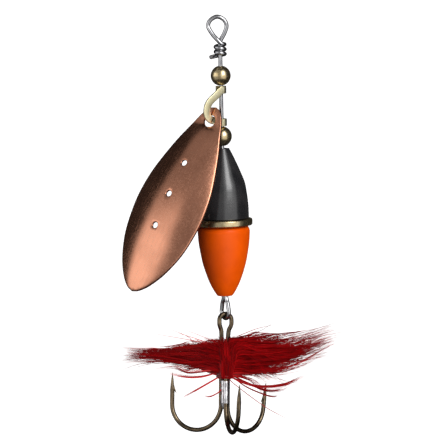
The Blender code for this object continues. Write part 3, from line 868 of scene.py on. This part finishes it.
def hook_path(hook):
    """From the bottom of the shank round the bend to the tip."""
    out = SHANK_OFFSET + BEND_R
    steps, stops = 44, 14
    sweep_angle = math.pi - hook.tilt
    arc = [
        around(out + BEND_R * math.cos(angle), hook.azimuth, hook.bend_z + BEND_R * math.sin(angle))
        for angle in (-math.pi + sweep_angle * step / steps for step in range(steps + 1))
    ]
    rise = point_rise(hook)
    root = arc[-1] + (hook.point - TAPER_LENGTH) * rise
    shares = [step / stops for step in range(stops + 1)]
    taper = [root + TAPER_LENGTH * share * rise for share in shares]
    taper_r = [TIP_R + (HOOK_R - TIP_R) * (1.0 - share ** 1.35) for share in shares]
    return arc + taper, [HOOK_R] * len(arc) + taper_r


def barb(hook):
    """A sliver lifted from the inner side of the point, its free end down."""
    path, _ = hook_path(hook)
    rise = point_rise(hook)
    inward = around(-math.cos(hook.tilt), hook.azimuth, math.sin(hook.tilt))
    reach = BARB_FOOT - BARB_ROOT
    lifts = ((0.0, 0.1 * HOOK_R), (0.4, 0.6 * HOOK_R), (0.75, HOOK_R + 0.35 * BARB_HEIGHT),
             (1.0, HOOK_R + BARB_HEIGHT))
    line = [path[-1] - (BARB_ROOT + share * reach) * rise + lift * inward for share, lift in lifts]
    spread = [BARB_ROOT_R + (BARB_TIP_R - BARB_ROOT_R) * (step / 15) ** 1.5 for step in range(16)]
    shape, layer = new_shape()
    sweep(shape, layer, smooth_curve(line, 5), spread, 12)
    spur = linked("spur", shape, 40.0)
    spur.matrix_world = TREBLE
    return spur


def eye_side(sign):
    """One side of the eye, from the shank's head up to where the round top starts."""
    side = TREBLE_AZIMUTH + math.pi / 2
    back = around(-0.5 * SHANK_OFFSET, TREBLE_AZIMUTH)
    foot = sign * math.cos(math.pi / 6) * SHANK_OFFSET
    knots = [
        back + around(foot, side, EYE_FOOT),
        0.7 * back + around(sign * 0.8 * MM, side, 0.68 * EYE_FOOT),
        around(sign * 0.96 * EYE_HALF_WIDTH, side, 0.38 * EYE_FOOT),
        around(sign * EYE_HALF_WIDTH, side, EYE_TOP - EYE_HALF_WIDTH),
    ]
    return smooth_curve(knots, 10)


def double_hook(look):
    """One wire: a hook, its shank, round the eye, the other shank and hook."""
    side = TREBLE_AZIMUTH + math.pi / 2
    right_path, radii = hook_path(RIGHT_HOOK)
    left_path, _ = hook_path(LEFT_HOOK)
    eye = [
        around(EYE_HALF_WIDTH * math.cos(angle), side,
               EYE_TOP - EYE_HALF_WIDTH + EYE_HALF_WIDTH * math.sin(angle))
        for angle in (math.pi * step / 36 for step in range(1, 36))
    ]
    path = (
        list(reversed(right_path)) + eye_side(1) + eye + list(reversed(eye_side(-1))) + left_path
    )
    plain = len(path) - 2 * len(radii)
    shape, layer = new_shape()
    sweep(shape, layer, path, list(reversed(radii)) + [HOOK_R] * plain + radii, 20)
    piece = add_treble_piece("double_hook_wire", shape, look, ["double_hook"])
    fuse(piece, [barb(RIGHT_HOOK), barb(LEFT_HOOK)])


def single_hook(look):
    path, radii = hook_path(FRONT_HOOK)
    head = around(SHANK_OFFSET, TREBLE_AZIMUTH, SINGLE_TOP)
    shape, layer = new_shape()
    sweep(shape, layer, [head, *path], [HOOK_R, *radii], 20)
    piece = add_treble_piece("single_hook_wire", shape, look, ["single_hook"])
    fuse(piece, [barb(FRONT_HOOK)])


def braze_radius(angle, height):
    """How far the solder reaches: over the front shank, into the grooves, thin at its ends."""
    share = (BRAZE_TOP - height) / (BRAZE_TOP - BRAZE_END)
    ends = min(1.0, 9.0 * share, 5.0 * (1.0 - share))
    reach = SHANK_OFFSET + BRAZE_WEB
    for step, coat in enumerate(BRAZE_COATS):
        swing = angle - TREBLE_AZIMUTH - step * TURN / 3
        inside = (HOOK_R + coat * MM) ** 2 - (SHANK_OFFSET * math.sin(swing)) ** 2
        if inside > 0.0 and math.cos(swing) > 0.0:
            reach = max(reach, SHANK_OFFSET * math.cos(swing) + math.sqrt(inside))
    lump = noise.noise(around(1.5, angle, height / BRAZE_LUMP_SPAN))
    return (reach + BRAZE_LUMP * lump) * (0.35 + 0.65 * max(ends, 0.0) ** 0.5)


def silver_braze(look):
    """Solder run round the three shanks, lumpy and uneven."""
    sides, steps = 56, 60
    shape, _ = new_shape()
    rings = []
    for step in range(steps + 1):
        height = BRAZE_TOP + (BRAZE_END - BRAZE_TOP) * step / steps
        rings.append([
            shape.verts.new(around(
                braze_radius(TURN * side / sides, height), TURN * side / sides, height,
            ))
            for side in range(sides)
        ])
    skin(shape, rings)
    add_treble_piece("silver_braze", shape, look, ["hook_braze"], 70.0)


def thread_winding(look):
    """The tying thread: turns down the shanks and a second, crossing layer back up."""
    shape, layer = new_shape()
    steps = 34
    for coil_r, slope, wobble in THREAD_LAYERS:
        start = THREAD_TOP if slope < 0.0 else THREAD_TOP - THREAD_TURNS * THREAD_PITCH
        line = []
        for step in range(THREAD_TURNS * steps + 1):
            angle = TURN * step / steps
            slack = THREAD_SLACK * math.sin(2.3 * angle + wobble)
            line.append(around(
                coil_r, angle, start + slope * THREAD_PITCH * step / steps + slack,
            ))
        sweep(shape, layer, line, THREAD_R, 10)
    add_treble_piece("thread_winding", shape, look, ["tying_thread"])


# ---------------------------------------------------------------- hair

HAIR_ROOT_R = 1.72 * MM             # over the tie
HAIR_ROOT_Z = THREAD_TOP - 1.5 * MM
WING_HAIR_R = (0.04, 0.075)         # thinnest and thickest hair at its root, in millimetres
CORE_HAIR_R = (0.06, 0.10)
LOCK_HAIR_R = (0.055, 0.095)
CORE_FOOT = -10.4                   # the core's hair ends between here and its height above
CORE_HEIGHT = 6.9
CORE_WIDTHS = (1.05, 1.55, 1.9)     # half width at the tie, then 0.4 and 0.75 of the way up
WAVE = 0.10                         # share of the half height
HIGHEST = 1.35                      # how high a hair may stand, so that the swinging treble clears the body
LOOSE_SHARE = 0.35                  # locks that are only a hair or three, and stray further


def hair_along(shape, layer, line, root_r, power, draw):
    """One hair with its own red, thinning toward its tip."""
    last = len(line) - 1
    radii = [root_r * (1.0 - 0.85 * (step / last) ** power) for step in range(last + 1)]
    sweep(shape, layer, line, radii, 3, draw.random())


def strand(shape, layer, knots, root_r, draw):
    hair_along(shape, layer, smooth_curve(knots, 4), root_r, 2.2, draw)


def bundle_row(rows, out):
    """Middle height, half height and half depth of a bundle at a distance out."""
    for before, after in zip(rows, rows[1:]):
        if before[0] <= out <= after[0]:
            part = (out - before[0]) / (after[0] - before[0])
            return [a + (b - a) * part for a, b in zip(before[1:], after[1:])]
    return rows[-1][1:]


class Lock:
    """A few hairs that cling together: where they sit in the bundle and how they run."""

    def __init__(self, draw, reach):
        spin = draw.uniform(0.0, TURN)
        spread = math.sqrt(draw.random())
        self.high = spread * math.sin(spin)
        self.deep = spread * math.cos(spin)
        self.tip = reach * (1.0 - 0.70 * draw.random() ** 0.95)
        self.stray = draw.gauss(0.0, 0.28)
        self.wave = draw.uniform(0.0, TURN)
        self.hairs = draw.randint(2, 15)
        if draw.random() < LOOSE_SHARE:
            self.stray *= 2.0
            self.hairs = draw.randint(1, 3)

    def drift(self, share):
        """How far it has wandered up or down, as a share of the half height."""
        return 2.2 * self.stray * share * share + WAVE * share * math.sin(self.wave + 6.0 * share)


def wing_knots(lock, rows, azimuth, draw):
    """One hair of a lock: up along the shanks, over the shoulder and outward."""
    out_dir = around(1.0, azimuth)
    depth_dir = around(1.0, azimuth + math.pi / 2)
    high = lock.high + draw.gauss(0.0, 0.05)
    deep = lock.deep + draw.gauss(0.0, 0.06)
    tip = lock.tip * draw.uniform(0.86, 1.0)
    fray = draw.gauss(0.0, 0.24)
    height, half_height, _ = bundle_row(rows, rows[0][0])
    root = around(HAIR_ROOT_R, azimuth + 1.5 * deep, HAIR_ROOT_Z)
    shoulder_z = (height + half_height * high) * MM
    bank = 1.15 * MM * (1.0 if deep > 0.0 else -1.0) + 0.5 * MM * deep
    knots = [
        root,
        0.55 * MM * out_dir + bank * depth_dir
        + Vector((0.0, 0.0, 0.85 * shoulder_z + 0.15 * root.z)),
    ]
    for share in (0.12, 0.35, 0.6, 0.8, 1.0):
        out = 1.75 + (tip - 1.75) * share
        height, half_height, half_depth = bundle_row(rows, out)
        lift = min(high + lock.drift(share) + fray * share ** 3, HIGHEST)
        knots.append(
            out * MM * out_dir
            + half_depth * (0.92 * deep + 0.4 * lock.drift(share)) * MM * depth_dir
            + Vector((0.0, 0.0, (height + half_height * 0.95 * lift) * MM))
        )
    return knots


def hair_wing(name, nodes, rows, azimuth, locks, seed, look):
    """A wing of hair, lock by lock."""
    draw = random.Random(seed)
    shape, layer = new_shape()
    for _ in range(locks):
        lock = Lock(draw, rows[-1][0])
        for _ in range(lock.hairs):
            knots = wing_knots(lock, rows, azimuth, draw)
            strand(shape, layer, knots, draw.uniform(*WING_HAIR_R) * MM, draw)
    add_treble_piece(name, shape, look, nodes, 80.0)


def hair_core(name, node, azimuth, out, count, seed, look):
    """Short hair that lies up the shanks and hides them between the wings."""
    draw = random.Random(seed)
    shape, layer = new_shape()
    width_dir = around(1.0, azimuth + math.pi / 2)
    depth_dir = around(1.0, azimuth)
    tie, low, wide = CORE_WIDTHS

    def spot(across, depth, z):
        return (across * width_dir + depth * depth_dir) * MM + Vector((0.0, 0.0, z))

    for _ in range(count):
        side = draw.uniform(-1.0, 1.0)
        lift = draw.uniform(0.0, 1.0)
        rise = (0.25 + 0.75 * draw.random() ** 0.6) * (1.0 - 0.15 * side * side)
        top = (CORE_FOOT + CORE_HEIGHT * rise) * MM
        lean = side * draw.uniform(1.5, 5.0) + draw.gauss(0.0, 1.3)
        depth = out * (0.72 + 0.5 * lift)
        knots = [
            spot(tie * side, 1.6, HAIR_ROOT_Z),
            spot(low * side, 0.95 * depth, 0.6 * THREAD_TOP + 0.4 * top),
            spot(wide * side, depth, 0.25 * THREAD_TOP + 0.75 * top),
            spot(wide * side + lean, 0.8 * depth, top),
        ]
        strand(shape, layer, knots, draw.uniform(*CORE_HAIR_R) * MM, draw)
    add_treble_piece(name, shape, look, [node], 80.0)


# Loose locks, in millimetres at rest: points along each, how many hairs it holds, how far they spread
LEFT_LOCKS = (
    (((-1.4, -1.8, -70.6), (-5.1, -2.6, -71.4), (-8.8, -2.9, -71.2), (-12.6, -2.9, -70.2)), 12, 0.30),
    (((-1.4, -1.8, -70.2), (-5.2, -2.6, -70.4), (-7.8, -2.9, -70.4), (-10.2, -2.9, -69.4),
      (-12.7, -2.8, -69.4)), 12, 0.30),
    (((-1.2, -1.9, -71.4), (-2.0, -2.3, -71.8), (-5.4, -2.9, -73.6), (-9.2, -3.4, -75.6)), 18, 0.22),
    (((-0.9, -2.0, -72.4), (-1.2, -2.3, -74.2), (-2.8, -2.5, -75.3), (-4.0, -2.5, -75.5),
      (-4.8, -2.5, -75.0)), 8, 0.16),
)
RIGHT_LOCKS = (
    (((0.9, -1.8, -71.1), (1.6, -2.2, -72.0), (5.2, -2.7, -73.3), (8.5, -2.9, -73.6),
      (11.8, -2.9, -73.2), (13.4, -2.8, -72.6), (16.1, -2.8, -71.5)), 30, 0.42),
    (((0.9, -1.8, -71.2), (4.2, -2.5, -72.9), (8.0, -2.9, -74.4), (10.8, -3.0, -74.3),
      (12.8, -2.9, -73.5)), 16, 0.35),
    (((0.9, -1.8, -71.4), (3.8, -2.4, -73.6), (7.6, -2.8, -75.3), (9.5, -2.8, -75.7),
      (10.2, -2.8, -75.3)), 12, 0.22),
    (((0.8, -1.9, -71.9), (1.2, -2.2, -72.8), (7.5, -3.2, -77.6), (12.6, -3.8, -80.4)), 9, 0.14),
)
STRAYS = (
    ((-1.2, -1.2, -65.6), (-6.6, -1.6, -64.2), (-16.6, -1.8, -62.2)),
    ((-2.2, -1.2, -66.6), (-9.6, -1.6, -66.2), (-19.6, -1.8, -64.6)),
    ((-2.2, -1.2, -67.6), (-12.6, -1.6, -67.2), (-20.6, -1.8, -66.9)),
    ((1.2, -1.2, -64.0), (6.6, -1.6, -62.6), (9.6, -1.8, -60.8)),
    ((2.2, -1.2, -65.6), (14.6, -1.6, -63.2), (24.4, -1.8, -60.4)),
    ((2.2, -1.2, -66.6), (16.6, -1.6, -64.2), (25.6, -1.8, -62.6)),
    ((-2.2, -1.2, -64.6), (-5.6, -1.8, -63.0), (-9.9, -2.2, -61.2)),
    ((-3.0, -1.2, -65.0), (-6.6, -1.6, -63.6), (-9.6, -1.8, -62.6)),
    ((-6.4, -1.2, -65.0), (-7.6, -1.6, -63.4), (-11.6, -1.8, -61.6)),
    ((2.2, -1.0, -63.6), (6.4, -1.4, -62.0), (10.2, -1.6, -61.2)),
    ((-0.4, -1.7, -71.6), (-1.3, -1.9, -73.2), (-0.9, -1.8, -74.6)),
    ((0.2, -1.8, -71.5), (-0.7, -2.0, -72.7), (-1.0, -2.0, -73.9)),
)


def hair_locks(name, nodes, locks, seed, look):
    """Locks and single hairs that hang free of the wings."""
    draw = random.Random(seed)
    home = TREBLE.inverted()
    shape, layer = new_shape()
    for points, count, spread in locks:
        for _ in range(count):
            offset = Vector((0.0, draw.gauss(0.0, 0.5), draw.gauss(0.0, 0.5))) * spread
            keep = draw.uniform(0.72, 1.0) if count > 1 else 1.0
            knots = []
            for index, point in enumerate(points):
                fan = 0.25 + 1.1 * index / (len(points) - 1)
                knots.append(home @ ((Vector(point) + fan * offset) * MM))
            line = smooth_curve(knots, 6)
            line = line[:max(4, round(keep * len(line)))]
            root_r = draw.uniform(*LOCK_HAIR_R) * MM
            hair_along(shape, layer, line, root_r, 2.0, draw)
    add_treble_piece(name, shape, look, nodes, 80.0)


HAIR_LEFT = (                       # distance out, middle height, half height, half depth, in mm
    (1.75, -7.8, 3.8, 1.2), (5.0, -7.6, 2.8, 1.6), (10.0, -7.4, 1.5, 1.6), (15.0, -7.4, 1.1, 1.3),
    (19.0, -7.4, 1.0, 1.2), (22.0, -7.4, 1.2, 1.2),
)
HAIR_RIGHT = (
    (1.75, -7.7, 4.0, 1.2), (5.0, -7.8, 4.0, 1.8), (10.0, -7.55, 3.5, 2.2), (15.0, -6.25, 2.9, 2.0),
    (20.0, -3.95, 1.9, 1.5), (24.0, -2.6, 1.8, 1.3),
)


def hair(look):
    hair_wing("hair_wing_left", ["hair_left"], HAIR_LEFT, math.radians(183.0), 170, 11, look)
    hair_wing("hair_wing_right", ["hair_right"], HAIR_RIGHT, math.radians(-4.0), 215, 12, look)
    hair_core("hair_core_front", "hair_front", TREBLE_AZIMUTH, 2.15, 560, 13, look)
    hair_core("hair_core_back", "hair_back", TREBLE_AZIMUTH + math.pi, 1.95, 420, 14, look)
    singles = [(points, 1, 0.05) for points in STRAYS]
    hair_locks("hair_locks_left", ["hair_low_left"], [*LEFT_LOCKS, *singles], 15, look)
    hair_locks("hair_locks_right", ["hair_low_right"], RIGHT_LOCKS, 16, look)


# ---------------------------------------------------------------- stage

CAMERA_TARGET = Vector((0.08 * MM, 0.0, -41.0 * MM))
CAMERA_DISTANCE = 0.6
CAMERA_ELEVATION = math.radians(6.0)
CAMERA_ROLL = math.radians(-1.13)
CAMERA_LENS = 241.0
FLOOR_Z = -0.3
FLOOR_SIZE = 60.0


def camera():
    lens = bpy.data.cameras.new("camera")
    lens.lens = CAMERA_LENS
    lens.sensor_width = 36.0
    lens.clip_start = 0.05
    lens.clip_end = 100.0
    made = bpy.data.objects.new("camera", lens)
    bpy.context.scene.collection.objects.link(made)
    made.location = CAMERA_TARGET + CAMERA_DISTANCE * Vector((
        0.0, -math.cos(CAMERA_ELEVATION), math.sin(CAMERA_ELEVATION),
    ))
    facing = Matrix.Rotation(math.pi / 2 - CAMERA_ELEVATION, 3, "X")
    made.rotation_euler = (facing @ Matrix.Rotation(CAMERA_ROLL, 3, "Z")).to_euler()
    bpy.context.scene.camera = made


def floor():
    """A plain pale floor, bright enough to read as paper white."""
    shape, _ = new_shape()
    bmesh.ops.create_grid(shape, x_segments=1, y_segments=1, size=FLOOR_SIZE / 2)
    made = linked("floor", shape, 40.0)
    made.location = (0.0, 0.0, FLOOR_Z)
    look = Look("white_paper", 0.9)
    look.shader.inputs["Base Color"].default_value = (0.8, 0.8, 0.8, 1.0)
    look.shader.inputs["Emission Color"].default_value = (1.0, 1.0, 1.0, 1.0)
    look.shader.inputs["Emission Strength"].default_value = 0.9
    made.data.materials.append(look.material)
    made.visible_glossy = False
    made.visible_diffuse = False
    made.visible_shadow = False


class Sky:
    """Node helpers for the world: softboxes drawn by direction."""

    def __init__(self):
        self.world = bpy.data.worlds.new("studio")
        bpy.context.scene.world = self.world
        self.world.use_nodes = True
        self.tree = self.world.node_tree
        self.tree.nodes.clear()
        direction = self.tree.nodes.new("ShaderNodeTexCoord").outputs["Generated"]
        parts = self.tree.nodes.new("ShaderNodeSeparateXYZ")
        self.tree.links.new(direction, parts.inputs[0])
        x, y, z = parts.outputs
        self.azimuth = self.math("ARCTAN2", x, self.math("MULTIPLY", y, -1.0))
        self.elevation = self.math("ARCSINE", z, 0.0)

    def math(self, operation, one, other):
        made = self.tree.nodes.new("ShaderNodeMath")
        made.operation = operation
        for index, value in enumerate((one, other)):
            if isinstance(value, (int, float)):
                made.inputs[index].default_value = value
            else:
                self.tree.links.new(value, made.inputs[index])
        return made.outputs[0]

    def fade(self, value, low, high, edge):
        """1 between two angles in degrees, falling to 0 over an edge outside them."""
        parts = []
        for start, end in ((low - edge, low), (high + edge, high)):
            made = self.tree.nodes.new("ShaderNodeMapRange")
            made.interpolation_type = "SMOOTHSTEP"
            made.inputs["From Min"].default_value = math.radians(start)
            made.inputs["From Max"].default_value = math.radians(end)
            self.tree.links.new(value, made.inputs["Value"])
            parts.append(made.outputs["Result"])
        return self.math("MULTIPLY", *parts)

    def softbox(self, azimuths, elevations, edge, strength):
        box = self.math("MULTIPLY", self.fade(self.azimuth, *azimuths, edge),
                        self.fade(self.elevation, *elevations, edge))
        return self.math("MULTIPLY", box, strength)

    def show(self, light):
        """White to the camera, softboxes in a dim room to everything else."""
        ray = self.tree.nodes.new("ShaderNodeLightPath").outputs["Is Camera Ray"]
        seen = self.tree.nodes.new("ShaderNodeMix")
        self.tree.links.new(ray, seen.inputs["Factor"])
        self.tree.links.new(light, seen.inputs["A"])
        seen.inputs["B"].default_value = 1.0
        background = self.tree.nodes.new("ShaderNodeBackground")
        self.tree.links.new(seen.outputs["Result"], background.inputs["Strength"])
        background.inputs["Color"].default_value = (1.0, 1.0, 1.0, 1.0)
        output = self.tree.nodes.new("ShaderNodeOutputWorld")
        self.tree.links.new(background.outputs[0], output.inputs["Surface"])


def studio():
    sky = Sky()
    light = 0.03
    for azimuths, elevations, edge, strength in (
        ((10.0, 60.0), (-26.0, 50.0), 10.0, 0.95),      # right softbox, down to the table
        ((24.0, 42.0), (16.0, 44.0), 9.0, 4.6),        # its hot middle
        ((-86.0, 0.0), (-34.0, 62.0), 9.0, 0.30),       # the pale wall on the left and in front
        ((-82.0, -42.0), (2.0, 21.0), 14.0, 1.15),      # the low lamp on that wall
    ):
        light = sky.math("ADD", sky.softbox(azimuths, elevations, edge, strength), light)
    sky.show(light)


def lamp(name, location, size, energy):
    """A soft area light that feeds matt colour and adds no highlight."""
    light = bpy.data.lights.new(name, "AREA")
    light.shape = "SQUARE"
    light.size = size
    light.energy = energy
    made = bpy.data.objects.new(name, light)
    bpy.context.scene.collection.objects.link(made)
    made.location = location
    made.rotation_euler = (CAMERA_TARGET - Vector(location)).to_track_quat("-Z", "Y").to_euler()
    made.visible_glossy = False


def lamps():
    lamp("key", (0.46, -0.50, 0.30), 0.35, 4.4)
    lamp("fill", (-0.35, -0.65, 0.10), 0.5, 0.25)
    lamp("back", (-0.10, 0.60, 0.25), 0.5, 1.5)
    lamp("low_fill", (0.15, -0.5, -0.25), 0.4, 0.9)


# ---------------------------------------------------------------- the scene

def build():
    bpy.context.scene.view_settings.view_transform = "Standard"
    camera()
    floor()
    studio()
    lamps()
    brass = brass_look("bead_brass", (0.60, 0.46, 0.24), (0.80, 0.67, 0.42), 0.22, 0.32)
    pale = brass_look("pale_brass", (0.86, 0.76, 0.46), (0.95, 0.88, 0.60), 0.30, 0.42)
    bronze = bronze_look()
    wire_form(steel_look())
    brass_bead("upper_brass_bead", "upper_bead", brass)
    brass_bead("lower_brass_bead", "lower_bead", brass)
    clevis_strip(pale)
    copper_blade(copper_look())
    brass_collar(brass)
    body_shells(
        lacquer_look("black_lacquer", (0.008, 0.008, 0.009), (0.016, 0.015, 0.016),
                     0.20, 0.34, 0.010 * MM, Coat_Weight=1.0, Coat_Roughness=0.15),
        lacquer_look("orange_lacquer", (0.52, 0.056, 0.0004), (0.58, 0.066, 0.0005),
                     0.36, 0.48, 0.0012 * MM, Coat_Weight=0.05, Coat_Roughness=0.20,
                     Specular_IOR_Level=0.10),
    )
    double_hook(bronze)
    single_hook(bronze)
    silver_braze(braze_look())
    thread_winding(thread_look())
    hair(hair_look())


build()
